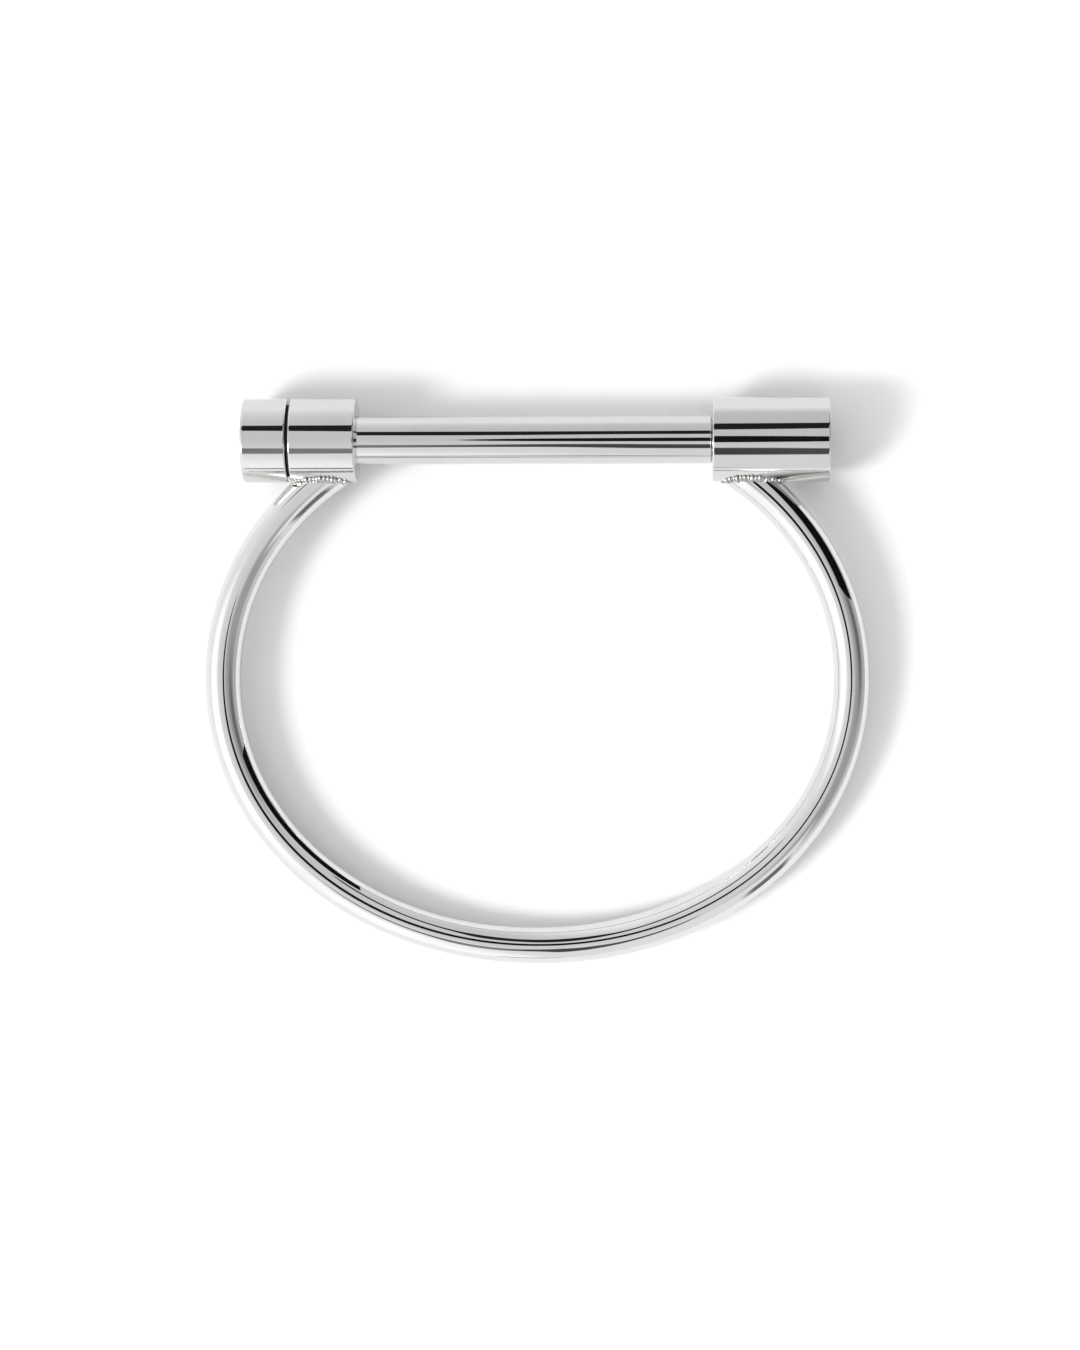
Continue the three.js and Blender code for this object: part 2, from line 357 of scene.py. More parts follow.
def turned(name, outline, material, closed=False, relief=None):
    """The outline turned about the X axis. relief(x, r, angle) may change a point's radius."""
    vertices, rings = [], []
    for x, r in outline:
        if r < ON_AXIS:
            rings.append([len(vertices)])
            vertices.append((x, 0, 0))
            continue
        rings.append([len(vertices) + k for k in range(ROUND_STEPS)])
        for k in range(ROUND_STEPS):
            angle = 2 * math.pi * k / ROUND_STEPS
            radius = relief(x, r, angle) if relief else r
            vertices.append((x, radius * math.cos(angle), radius * math.sin(angle)))
    faces = []
    pairs = list(zip(rings, rings[1:]))
    if closed:
        pairs.append((rings[-1], rings[0]))
    for left, right in pairs:
        for k in range(ROUND_STEPS):
            n = (k + 1) % ROUND_STEPS
            if len(left) == 1:
                faces.append((left[0], right[n], right[k]))
            elif len(right) == 1:
                faces.append((left[k], left[n], right[0]))
            else:
                faces.append((left[k], left[n], right[n], right[k]))
    piece = finish_mesh(name, vertices, faces, material)
    print(f"{name}: {len(vertices)} points, {len(faces)} faces")
    return piece


def face_out(piece):
    """Turns every face outwards, by the sign of the piece's volume."""
    mesh = piece.data
    mesh.calc_loop_triangles()
    volume = 0.0
    for triangle in mesh.loop_triangles:
        a, b, c = (mesh.vertices[i].co for i in triangle.vertices)
        volume += a.dot(b.cross(c))
    if volume < 0:
        mesh.flip_normals()
    print(f"{piece.name}: volume {abs(volume) / 6 / MM ** 3:.1f} mm3, turned {volume < 0}")
    return piece


# %% [markdown]
# ## The guide barrel
# A short cut of 9 mm bar, bored right through for the sliding bar. Its rims are broken with a
# fine radius, so each end shows a hairline highlight. The outline runs along the outside, back
# through the bore, and closes on itself.

# %% Guide barrel
GUIDE_LOW, GUIDE_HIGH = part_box("guide_barrel")
BORE_RADIUS = BAR_RADIUS + 0.1 * MM
RIM_RADIUS = 0.14 * MM
BORE_RIM_RADIUS = 0.12 * MM


def sleeve_outline(left, right, inner, outer, outer_rim, inner_rim):
    """The closed outline of a plain sleeve, with its four corners rounded."""
    middle = (left + right) / 2
    outside = rounded([(middle, inner), (left, inner), (left, outer), (right, outer),
                       (right, inner), (middle, inner)],
                      [inner_rim, outer_rim, outer_rim, inner_rim])
    return outside[:-1]


guide_outline = sleeve_outline(GUIDE_LOW.x, GUIDE_HIGH.x, BORE_RADIUS, BARREL_RADIUS,
                               RIM_RADIUS, BORE_RIM_RADIUS)
guide_barrel = face_out(turned("guide_barrel_turned", guide_outline, turned_steel, closed=True))

# %% [markdown]
# ## The thread
# The stud and the hole share one right-hand M4 thread. A thread is a groove whose depth
# depends on where you are along the axis plus how far you have turned, so one function of x
# and the angle cuts both. The hole's groove is cut outwards from a bore that clears the stud,
# so the bar can be drawn out at any angle without the two crossing.

# %% Thread rule
THREAD_PITCH = 0.7 * MM
THREAD_DEPTH = 0.38 * MM
STUD_RADIUS = 2 * MM
RINGS_PER_PITCH = 14
SAME_RADIUS = 1e-7    # how near a point's radius is to the crest's before the thread cuts it


def groove(x, angle):
    """The thread's depth at a point, from 0 on the crest to 1 at the root."""
    turns = x / THREAD_PITCH + angle / (2 * math.pi)
    from_root = abs(turns - math.floor(turns) - 0.5) * 2
    depth = 1.12 - 1.24 * from_root
    return min(1.0, max(0.0, depth))


def fade(x, start, end, run):
    """1 between start and end, easing to 0 over run at either side."""
    into = min(1.0, max(0.0, (x - start) / run))
    out = min(1.0, max(0.0, (end - x) / run))
    return into * out


def stations(start, end):
    """Evenly spaced places along a thread, close enough to show its flanks."""
    count = math.ceil((end - start) / THREAD_PITCH * RINGS_PER_PITCH)
    return [start + (end - start) * i / count for i in range(count + 1)]


# %% [markdown]
# ## The threaded barrel
# The right barrel is drilled and tapped from its inner end only, and its outer end is solid.
# The hole ends in the cone that a drill leaves. Only its mouth shows once the bar is out.

# %% Threaded barrel
THREADED_LOW, THREADED_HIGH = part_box("threaded_barrel")
HOLE_RADIUS = STUD_RADIUS + 0.07 * MM
HOLE_DEPTH = 8 * MM
TAPPED_DEPTH = 7.2 * MM
DRILL_POINT = 0.55    # the depth of the drill's cone, for each unit of radius
MOUTH_BEVEL = 0.3 * MM
hole_end = THREADED_LOW.x + HOLE_DEPTH
tap_start = THREADED_LOW.x + 0.35 * MM
tap_end = THREADED_LOW.x + TAPPED_DEPTH
hole = [(hole_end + HOLE_RADIUS * DRILL_POINT, 0), (hole_end, HOLE_RADIUS)]
hole += [(x, HOLE_RADIUS) for x in reversed(stations(tap_start, tap_end))]
shell = rounded([(THREADED_LOW.x + MOUTH_BEVEL, HOLE_RADIUS),
                 (THREADED_LOW.x, HOLE_RADIUS + MOUTH_BEVEL),
                 (THREADED_LOW.x, BARREL_RADIUS), (THREADED_HIGH.x, BARREL_RADIUS),
                 (THREADED_HIGH.x, 0)], [0.02 * MM, RIM_RADIUS, RIM_RADIUS])


def tapped(x, r, angle):
    """Sinks the hole's thread outwards, and leaves the rest of the barrel as it is."""
    if abs(r - HOLE_RADIUS) > SAME_RADIUS:
        return r
    return r + THREAD_DEPTH * groove(x, angle) * fade(x, tap_start, tap_end, THREAD_PITCH)


threaded_barrel = face_out(turned("threaded_barrel_turned", hole + shell, turned_steel,
                                  relief=tapped))

# %% [markdown]
# ## The bar and its stud
# The bar is turned from 5.1 mm stock. At its right end a bevelled shoulder seats on the
# threaded barrel, and the stud beyond it is cut with the thread. At its left end a thin spigot
# goes into the head. The outline runs from the spigot to the tip.

# %% Screw bar
BAR_LOW, BAR_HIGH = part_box("screw_bar")
SHOULDER_X = THREADED_LOW.x - 0.02 * MM
ROOT_RADIUS = STUD_RADIUS - THREAD_DEPTH
SPIGOT_RADIUS = 1.6 * MM
SHOULDER_BEVEL = 0.17 * MM
TIP_BEVEL = 0.5 * MM
bar_left_face = HEAD_HIGH.x + 0.02 * MM
thread_start = SHOULDER_X + 0.6 * MM
thread_end = BAR_HIGH.x - 0.1 * MM
bar_body = rounded([(BAR_LOW.x, 0), (BAR_LOW.x, SPIGOT_RADIUS), (bar_left_face, SPIGOT_RADIUS),
                    (bar_left_face, BAR_RADIUS), (SHOULDER_X - SHOULDER_BEVEL, BAR_RADIUS),
                    (SHOULDER_X, BAR_RADIUS - SHOULDER_BEVEL), (SHOULDER_X, ROOT_RADIUS),
                    (thread_start - 0.1 * MM, ROOT_RADIUS)],
                   [0.1 * MM, 0.02 * MM, 0.08 * MM, 0.05 * MM, 0.04 * MM, 0.1 * MM])
stud = [(x, STUD_RADIUS) for x in stations(thread_start, thread_end)]
tip = [(BAR_HIGH.x, ROOT_RADIUS - 0.4 * MM), (BAR_HIGH.x, 0)]


def threaded(x, r, angle):
    """Cuts the stud's thread, with a bevel at its tip and a run-out at the shoulder."""
    if abs(r - STUD_RADIUS) > SAME_RADIUS:
        return r
    cut = r - THREAD_DEPTH * groove(x, angle)
    bevel = STUD_RADIUS - max(0.0, x - (thread_end - TIP_BEVEL))
    run_out = ROOT_RADIUS + max(0.0, x - thread_start) * 0.9
    return min(cut, bevel, max(run_out, ROOT_RADIUS))


screw_bar = face_out(turned("screw_bar_turned", bar_body + stud + tip, bar_steel, relief=threaded))

# %% [markdown]
# ## The head and the washer
# The head is a plain round knob of the same diameter as the barrels, soldered on the bar's
# spigot, so it has a blind hole on its inner side. The washer sits in the narrow gap between
# the head and the guide barrel, and both are plain lathe work.

# %% Head and washer
SPIGOT_HOLE = SPIGOT_RADIUS + 0.02 * MM
head_hole_end = BAR_LOW.x - 0.02 * MM
head_outline = rounded([(HEAD_LOW.x, 0), (HEAD_LOW.x, BARREL_RADIUS),
                        (HEAD_HIGH.x, BARREL_RADIUS), (HEAD_HIGH.x, SPIGOT_HOLE),
                        (head_hole_end, SPIGOT_HOLE), (head_hole_end, 0)],
                       [0.24 * MM, 0.16 * MM, 0.05 * MM, 0])
bar_head = face_out(turned("bar_head_turned", head_outline, turned_steel))

WASHER_LOW, WASHER_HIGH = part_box("friction_washer")
washer_outer = (WASHER_HIGH.y - WASHER_LOW.y) / 2
washer_outline = sleeve_outline(WASHER_LOW.x, WASHER_HIGH.x, BORE_RADIUS, washer_outer,
                                0.08 * MM, 0.04 * MM)
washer = face_out(turned("friction_washer_moulded", washer_outline, washer_nylon, closed=True))

# %% [markdown]
# ## The bow
# The bow is one rod bent to a superellipse, a curve a little squarer than an ellipse. The
# shape follows a rule, so Geometry Nodes make it: a line of points is moved onto the curve by
# the formula, and a circle is swept along it. The tree also keeps each point's place on the
# rod, so that the drawn lines in the metal can follow the bend.


# %% Bow tree
def swept_bow_tree():
    """A Geometry Nodes tree that sweeps a round rod along a superellipse."""
    tree, inside, outside = new_group("swept bow", "GeometryNodeTree", [
        ("Half Width", "NodeSocketFloat", 0.03), ("Half Depth", "NodeSocketFloat", 0.03),
        ("Centre Depth", "NodeSocketFloat", 0.03), ("Squareness", "NodeSocketFloat", 2.0),
        ("End Angle", "NodeSocketFloat", 1.0), ("Rod Radius", "NodeSocketFloat", 0.002),
        ("Steps", "NodeSocketInt", 64), ("Sides", "NodeSocketInt", 16),
        ("Material", "NodeSocketMaterial", None),
    ], [("Geometry", "NodeSocketGeometry", None)])
    given = inside.outputs
    line = add(tree, "GeometryNodeMeshLine")
    feed(tree, line.inputs["Count"], given["Steps"])
    last = calc(tree, "SUBTRACT", given["Steps"], 1.0)
    share = calc(tree, "DIVIDE", add(tree, "GeometryNodeInputIndex").outputs[0], last)
    swing = calc(tree, "ADD", given["End Angle"], math.pi / 2)
    angle = calc(tree, "MULTIPLY_ADD", calc(tree, "MULTIPLY_ADD", share, 2.0, -1.0), swing,
                 -math.pi / 2)
    power = calc(tree, "DIVIDE", 2.0, given["Squareness"])

    def squared(wave, half):
        value = calc(tree, wave, angle)
        size = calc(tree, "POWER", calc(tree, "ABSOLUTE", value), power)
        signed = calc(tree, "MULTIPLY", calc(tree, "SIGN", value), size)
        return calc(tree, "MULTIPLY", signed, half)

    across = squared("COSINE", given["Half Width"])
    down = calc(tree, "SUBTRACT", squared("SINE", given["Half Depth"]), given["Centre Depth"])
    bent = add(tree, "GeometryNodeSetPosition")
    feed(tree, bent.inputs["Geometry"], line.outputs["Mesh"])
    feed(tree, bent.inputs["Position"], join_xyz(tree, across, down, 0.0))
    curve = add(tree, "GeometryNodeMeshToCurve")
    feed(tree, curve.inputs["Mesh"], bent.outputs["Geometry"])
    along = add(tree, "GeometryNodeStoreNamedAttribute", data_type="FLOAT", domain="POINT")
    feed(tree, along.inputs["Geometry"], curve.outputs["Curve"])
    feed(tree, along.inputs["Name"], "along")
    feed(tree, along.inputs["Value"], add(tree, "GeometryNodeSplineParameter").outputs["Length"])

    circle = add(tree, "GeometryNodeCurvePrimitiveCircle", mode="RADIUS")
    feed(tree, circle.inputs["Resolution"], given["Sides"])
    feed(tree, circle.inputs["Radius"], given["Rod Radius"])
    section = add(tree, "GeometryNodeStoreNamedAttribute", data_type="FLOAT_VECTOR",
                  domain="POINT")
    feed(tree, section.inputs["Geometry"], circle.outputs["Curve"])
    feed(tree, section.inputs["Name"], "section")
    feed(tree, section.inputs["Value"], add(tree, "GeometryNodeInputPosition").outputs[0])
    sweep = add(tree, "GeometryNodeCurveToMesh")
    feed(tree, sweep.inputs["Curve"], along.outputs["Geometry"])
    feed(tree, sweep.inputs["Profile Curve"], section.outputs["Geometry"])
    feed(tree, sweep.inputs["Fill Caps"], True)

    read_along = add(tree, "GeometryNodeInputNamedAttribute", data_type="FLOAT")
    feed(tree, read_along.inputs["Name"], "along")
    read_section = add(tree, "GeometryNodeInputNamedAttribute", data_type="FLOAT_VECTOR")
    feed(tree, read_section.inputs["Name"], "section")
    parts = add(tree, "ShaderNodeSeparateXYZ")
    feed(tree, parts.inputs[0], read_section.outputs["Attribute"])
    place = join_xyz(tree, read_along.outputs["Attribute"], parts.outputs["X"], parts.outputs["Y"])
    keep = add(tree, "GeometryNodeStoreNamedAttribute", data_type="FLOAT_VECTOR", domain="POINT")
    feed(tree, keep.inputs["Geometry"], sweep.outputs["Mesh"])
    feed(tree, keep.inputs["Name"], "rod_place")
    feed(tree, keep.inputs["Value"], place)
    smooth = add(tree, "GeometryNodeSetShadeSmooth")
    feed(tree, smooth.inputs["Geometry"], keep.outputs["Geometry"])
    real = add(tree, "GeometryNodeRealizeInstances")
    feed(tree, real.inputs["Geometry"], smooth.outputs["Geometry"])
    coated = add(tree, "GeometryNodeSetMaterial")
    feed(tree, coated.inputs["Geometry"], real.outputs["Geometry"])
    feed(tree, coated.inputs["Material"], given["Material"])
    feed(tree, outside.inputs["Geometry"], coated.outputs["Geometry"])
    return tree


def grow(name, tree, values, start=None):
    """Runs a tree on an object and returns its result as a plain mesh object."""
    host = bpy.data.objects.new(name + "_host", start or bpy.data.meshes.new(name))
    bpy.context.scene.collection.objects.link(host)
    modifier = host.modifiers.new("nodes", "NODES")
    modifier.node_group = tree
    for item in tree.interface.items_tree:
        if item.item_type == "SOCKET" and item.in_out == "INPUT" and item.name in values:
            modifier[item.identifier] = values[item.name]
    depsgraph = bpy.context.evaluated_depsgraph_get()
    mesh = bpy.data.meshes.new_from_object(host.evaluated_get(depsgraph), depsgraph=depsgraph,
                                           preserve_all_data_layers=True)
    bpy.data.objects.remove(host)
    piece = bpy.data.objects.new(name, mesh)
    bpy.context.scene.collection.objects.link(piece)
    print(f"{name}: {len(mesh.vertices)} points, {len(mesh.polygons)} faces")
    return piece


# %% Grow the bow
BOW_SQUARENESS = 2.05
BOW_CENTRE_DEPTH = 25.5 * MM
BOW_HALF_DEPTH = REACH - BOW_CENTRE_DEPTH
ROD_END_DEPTH = 2.5 * MM
BOW_STEPS = 420
ROD_SIDES = 72
end_share = (BOW_CENTRE_DEPTH - ROD_END_DEPTH) / BOW_HALF_DEPTH
END_ANGLE = math.asin(end_share ** (BOW_SQUARENESS / 2))
bow = grow("bow_bent_rod", swept_bow_tree(), {
    "Half Width": BOW_HALF_WIDTH, "Half Depth": BOW_HALF_DEPTH, "Centre Depth": BOW_CENTRE_DEPTH,
    "Squareness": BOW_SQUARENESS, "End Angle": END_ANGLE, "Rod Radius": ROD_RADIUS,
    "Steps": BOW_STEPS, "Sides": ROD_SIDES, "Material": bow_steel,
})

# %% [markdown]
# The rod's ends are coped: filed to a saddle that fits the round barrel, ready to weld. Every
# point that would lie inside a barrel is slid back along the rod until it is on the barrel's
# surface, which leaves just that saddle.


# %% Cope the rod's ends
def bow_point(share):
    """The centreline at a share of its length, from the guide end to the threaded end."""
    angle = (2 * share - 1) * (END_ANGLE + math.pi / 2) - math.pi / 2
    power = 2 / BOW_SQUARENESS
    x = BOW_HALF_WIDTH * math.copysign(abs(math.cos(angle)) ** power, math.cos(angle))
    y = BOW_HALF_DEPTH * math.copysign(abs(math.sin(angle)) ** power, math.sin(angle))
    return Vector((x, y - BOW_CENTRE_DEPTH, 0))


def end_direction(side):
    """The rod's direction into the barrel on that side."""
    share = 1.0 if side > 0 else 0.0
    return (bow_point(share) - bow_point(share - side * 0.01)).normalized()


COPE_RADIUS = BARREL_RADIUS - 0.02 * MM


def cope(piece):
    """Slides the points inside the barrels back to the barrels' surface."""
    moved = 0
    for vertex in piece.data.vertices:
        x, y, z = vertex.co
        if math.hypot(y, z) >= COPE_RADIUS or abs(y) > BARREL_RADIUS:
            continue
        inward = end_direction(1 if x > 0 else -1)
        surface_y = -math.sqrt(COPE_RADIUS ** 2 - z ** 2)
        vertex.co += inward * ((surface_y - y) / inward.y)
        moved += 1
    piece.data.transform(LYING)
    print(f"{piece.name}: {moved} points slid to the saddles")


cope(bow)


def merge_close(piece, distance):
    """Joins points closer than distance, as modelling by hand would with Merge by Distance."""
    mesh = bmesh.new()
    mesh.from_mesh(piece.data)
    bmesh.ops.remove_doubles(mesh, verts=mesh.verts, dist=distance)
    bmesh.ops.recalc_face_normals(mesh, faces=mesh.faces)
    mesh.to_mesh(piece.data)
    mesh.free()
    piece.data.polygons.foreach_set("use_smooth", [True] * len(piece.data.polygons))


merge_close(bow, 0.002 * MM)

# %% [markdown]
# ## The weld beads
# A weld made by hand is a row of small overlapping puddles, each one a ripple about 0.4 mm
# from the last. Geometry Nodes suit this well: the saddle line where rod meets barrel is
# resampled at the ripple's pitch, and a flattened drop is placed at every point, turned along
# the line and varied a little. The drops are smaller at the rod's sides, where there is less
# room. A voxel remesh then melts them into one bead, and its end is ground flush.


# %% Weld tree
def weld_tree():
    """A tree that strings drops of weld metal along the curve that it is given."""
    tree, inside, outside = new_group("weld ripples", "GeometryNodeTree", [
        ("Geometry", "NodeSocketGeometry", None), ("Pitch", "NodeSocketFloat", 0.0006),
        ("Drop Radius", "NodeSocketFloat", 0.0006), ("Drop Thickness", "NodeSocketFloat", 0.5),
        ("Size Spread", "NodeSocketFloat", 0.1), ("Side Size", "NodeSocketFloat", 0.6),
        ("Rod Radius", "NodeSocketFloat", 0.002), ("Wander", "NodeSocketFloat", 0.00005),
        ("Seed", "NodeSocketInt", 1), ("Material", "NodeSocketMaterial", None),
    ], [("Geometry", "NodeSocketGeometry", None)])
    given = inside.outputs
    spaced = add(tree, "GeometryNodeResampleCurve", mode="LENGTH")
    feed(tree, spaced.inputs["Curve"], given["Geometry"])
    feed(tree, spaced.inputs["Length"], given["Pitch"])
    wander = add(tree, "FunctionNodeRandomValue", data_type="FLOAT_VECTOR")
    feed(tree, wander.inputs["Min"], (-1, -1, -1))
    feed(tree, wander.inputs["Max"], (1, 1, 1))
    feed(tree, wander.inputs["Seed"], given["Seed"])
    nudged = add(tree, "GeometryNodeSetPosition")
    feed(tree, nudged.inputs["Geometry"], spaced.outputs["Curve"])
    offset = vector_calc(tree, "SCALE", wander.outputs["Value"])
    feed(tree, offset.node.inputs["Scale"], given["Wander"])
    feed(tree, nudged.inputs["Offset"], offset)
    drop = add(tree, "GeometryNodeMeshIcoSphere")
    feed(tree, drop.inputs["Radius"], given["Drop Radius"])
    feed(tree, drop.inputs["Subdivisions"], 4)
    flat = add(tree, "GeometryNodeTransform")
    feed(tree, flat.inputs["Geometry"], drop.outputs["Mesh"])
    feed(tree, flat.inputs["Scale"], join_xyz(tree, 1.0, 1.0, given["Drop Thickness"]))
    tangent = add(tree, "GeometryNodeInputTangent")
    turn = add(tree, "FunctionNodeAlignRotationToVector", axis="Z")
    feed(tree, turn.inputs["Vector"], tangent.outputs["Tangent"])
    spread = add(tree, "FunctionNodeRandomValue", data_type="FLOAT")
    by_id = {s.identifier: s for s in spread.inputs}
    feed(tree, by_id["Min_001"], calc(tree, "SUBTRACT", 1.0, given["Size Spread"]))
    feed(tree, by_id["Max_001"], calc(tree, "ADD", 1.0, given["Size Spread"]))
    feed(tree, by_id["Seed"], calc(tree, "ADD", given["Seed"], 7.0))
    strung = add(tree, "GeometryNodeInstanceOnPoints")
    feed(tree, strung.inputs["Points"], nudged.outputs["Geometry"])
    feed(tree, strung.inputs["Instance"], flat.outputs["Geometry"])
    feed(tree, strung.inputs["Rotation"], turn.outputs["Rotation"])
    size = [s for s in spread.outputs if s.identifier == "Value_001"][0]
    here = add(tree, "ShaderNodeSeparateXYZ")
    feed(tree, here.inputs[0], add(tree, "GeometryNodeInputPosition").outputs[0])
    height = calc(tree, "DIVIDE", calc(tree, "ABSOLUTE", here.outputs["Z"]), given["Rod Radius"])
    gain = calc(tree, "SUBTRACT", 1.0, given["Side Size"])
    shrink = calc(tree, "MULTIPLY_ADD", calc(tree, "MINIMUM", height, 1.0), gain,
                  given["Side Size"])
    feed(tree, strung.inputs["Scale"], calc(tree, "MULTIPLY", size, shrink))
    real = add(tree, "GeometryNodeRealizeInstances")
    feed(tree, real.inputs["Geometry"], strung.outputs["Instances"])
    coated = add(tree, "GeometryNodeSetMaterial")
    feed(tree, coated.inputs["Geometry"], real.outputs["Geometry"])
    feed(tree, coated.inputs["Material"], given["Material"])
    feed(tree, outside.inputs["Geometry"], coated.outputs["Geometry"])
    return tree


# %% Lay the beads
WELD_PITCH = 0.37 * MM
WELD_RADIUS = 0.62 * MM
WELD_STAND_OFF = -0.12 * MM
WELD_WANDER = 0.06 * MM
SADDLE_POINTS = 96
MELT_VOXEL = 0.04 * MM
FLOW_ROUNDS = 4
GROUND_GAP = 0.03 * MM
BARREL_ENDS = {-1: (GUIDE_LOW.x, GUIDE_HIGH.x), 1: (THREADED_LOW.x, THREADED_HIGH.x)}


def saddle(side):
    """The closed line where the rod's skin meets the barrel's, just inside both."""
    inward = end_direction(side)
    share = 1.0 if side > 0 else 0.0
    foot = bow_point(share)
    across = Vector((-inward.y, inward.x, 0))
    line = []
    for k in range(SADDLE_POINTS):
        angle = 2 * math.pi * k / SADDLE_POINTS
        rim = foot + (ROD_RADIUS + WELD_STAND_OFF) * (
            across * math.cos(angle) + Vector((0, 0, 1)) * math.sin(angle))
        surface_y = -math.sqrt((BARREL_RADIUS + WELD_STAND_OFF) ** 2 - rim.z ** 2)
        line.append(rim + inward * ((surface_y - rim.y) / inward.y))
    return line


def closed_curve(name, points):
    """A closed poly curve through the points."""
    curve = bpy.data.curves.new(name, "CURVE")
    curve.dimensions = "3D"
    spline = curve.splines.new("POLY")
    spline.points.add(len(points) - 1)
    for point, place in zip(spline.points, points):
        point.co = (*place, 1.0)
    spline.use_cyclic_u = True
    return curve


def melt(piece):
    """Fuses a piece's loose drops into one skin, and smooths it a little."""
    remesh = piece.modifiers.new("melt", "REMESH")
    remesh.mode = "VOXEL"
    remesh.voxel_size = MELT_VOXEL
    remesh.use_smooth_shade = True
    smooth = piece.modifiers.new("flow", "SMOOTH")
    smooth.factor = 0.5
    smooth.iterations = FLOW_ROUNDS
    depsgraph = bpy.context.evaluated_depsgraph_get()
    mesh = bpy.data.meshes.new_from_object(piece.evaluated_get(depsgraph), depsgraph=depsgraph)
    piece.modifiers.clear()
    piece.data = mesh
    print(f"{piece.name}: melted to {len(mesh.polygons)} faces")


def grind_flush(piece, low, high):
    """Grinds a bead flush with the barrel's ends, so that it can't foul the head."""
    ground = 0
    for vertex in piece.data.vertices:
        flush = min(max(vertex.co.x, low + GROUND_GAP), high - GROUND_GAP)
        ground += vertex.co.x != flush
        vertex.co.x = flush
    print(f"{piece.name}: {ground} points ground flush")


ripples = weld_tree()
weld_beads = {}
for side, name, seed in ((-1, "guide_weld_bead", 11), (1, "threaded_weld_bead", 23)):
    bead = grow(name, ripples, {
        "Pitch": WELD_PITCH, "Drop Radius": WELD_RADIUS, "Drop Thickness": 0.5,
        "Size Spread": 0.09, "Side Size": 0.3, "Rod Radius": ROD_RADIUS, "Wander": WELD_WANDER,
        "Seed": seed, "Material": weld_steel,
    }, start=closed_curve(name, saddle(side)))
    melt(bead)
    grind_flush(bead, *BARREL_ENDS[side])
    bead.data.transform(LYING)
    bead.data.materials.clear()
    bead.data.materials.append(weld_steel)
    weld_beads[side] = bead

# %% [markdown]
# ## Everything rides on its body
# The bow, the barrels and the welds are one welded shackle. The bar and its head turn and
# slide together, and the washer slides with them but does not turn.

# %% Ride and replace
PIECES = [
    (bow, "shackle", "bow", "bow_steel"),
    (guide_barrel, "shackle", "guide_barrel", "turned_steel"),
    (threaded_barrel, "shackle", "threaded_barrel", "turned_steel"),
    (weld_beads[-1], "shackle", "guide_weld", "weld_steel"),
    (weld_beads[1], "shackle", "threaded_weld", "weld_steel"),
    (screw_bar, "pin", "screw_bar", "bar_steel"),
    (bar_head, "pin", "bar_head", "turned_steel"),
    (washer, "washer", "friction_washer", "washer_nylon"),
]
for piece, body, node, slot_name in PIECES:
    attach(piece, body)
    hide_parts(node)
    print(f"{piece.name} rides on {body} and stands for {node}")

# %% [markdown]
# ## The table
# The shackle lies on a matt white table. The table is the only thing that it touches, so this
# is where its soft shadow falls.

# %% Table
TABLE_SIZE = 2.4
half_table = TABLE_SIZE / 2


def flat_sheet(name, corners, tone):
    """A flat matt sheet with those corners, which isn't part of the object."""
    mesh = bpy.data.meshes.new(name)
    mesh.from_pydata(corners, [], [tuple(range(len(corners)))])
    sheet = bpy.data.objects.new(name, mesh)
    bpy.context.scene.collection.objects.link(sheet)
    material = bpy.data.materials.new(name + "_matt")
    material.use_nodes = True
    shader = material.node_tree.nodes["Principled BSDF"]
    shader.inputs["Base Color"].default_value = (tone, tone, tone, 1)
    shader.inputs["Roughness"].default_value = 0.9
    shader.inputs["Specular IOR Level"].default_value = 0.0
    mesh.materials.append(material)
    print(f"{name}: {len(corners)} corners, tone {tone}")
    return sheet


flat_sheet("table", [(-half_table, -half_table, 0), (half_table, -half_table, 0),
                     (half_table, half_table, 0), (-half_table, half_table, 0)], 0.88)

# %% [markdown]
# ## The studio
# Polished metal shows the room more than itself, so the room is built as a product studio is.
# A black card stands close on the right, which draws a crisp dark band down the bow. The
# camera's own dark body hangs overhead. Both are near enough for their reflections to shift
# along the piece, so they are real sheets, which only mirrors see.


# %% Reflection cards
def mirror_only(sheet):
    """Makes a sheet show in reflections alone, so it neither blocks light nor gets in shot."""
    sheet.visible_camera = False
    sheet.visible_diffuse = False
    sheet.visible_shadow = False
    sheet.visible_transmission = False


CARD_X = 105 * MM
mirror_only(flat_sheet("black_card", [(CARD_X, 28 * MM, 20 * MM), (CARD_X, 200 * MM, 20 * MM),
                                      (CARD_X, 200 * MM, 138 * MM), (CARD_X, 28 * MM, 138 * MM)],
                       0.004))
CAMERA_BODY_HIGH = 400 * MM
body_outline = [(15 * MM + 50 * MM * math.cos(math.radians(t)),
                 6 * MM + 60 * MM * math.sin(math.radians(t)), CAMERA_BODY_HIGH)
                for t in range(0, 360, 15)]
mirror_only(flat_sheet("camera_body", body_outline, 0.01))

# %% [markdown]
# Everything further off is drawn by the world shader as a function of direction: a pale tent,
# soft lights as cards in it, and dark seams where its panels meet. A card is a soft-edged
# rectangle that faces the shackle. Its mask comes from how far a direction lies to either side
# of the card's centre.


# %% Studio card group
def toward(azimuth, zenith):
    """A unit direction: azimuth is anticlockwise from +X, zenith is the angle from straight up."""
    a, z = math.radians(azimuth), math.radians(zenith)
    return Vector((math.sin(z) * math.cos(a), math.sin(z) * math.sin(a), math.cos(z)))


def soft_edge(tree, value, half, softness):
    """1 where value is under half, easing to 0 over softness either side of it."""
    return ease(tree, value, calc(tree, "ADD", half, softness),
                calc(tree, "SUBTRACT", half, softness))


def blend(tree, factor, behind, over):
    """behind where factor is 0 and over where it is 1."""
    node = add(tree, "ShaderNodeMix", data_type="FLOAT")
    for socket_name, value in (("Factor", factor), ("A", behind), ("B", over)):
        feed(tree, node.inputs[socket_name], value)
    return node.outputs["Result"]


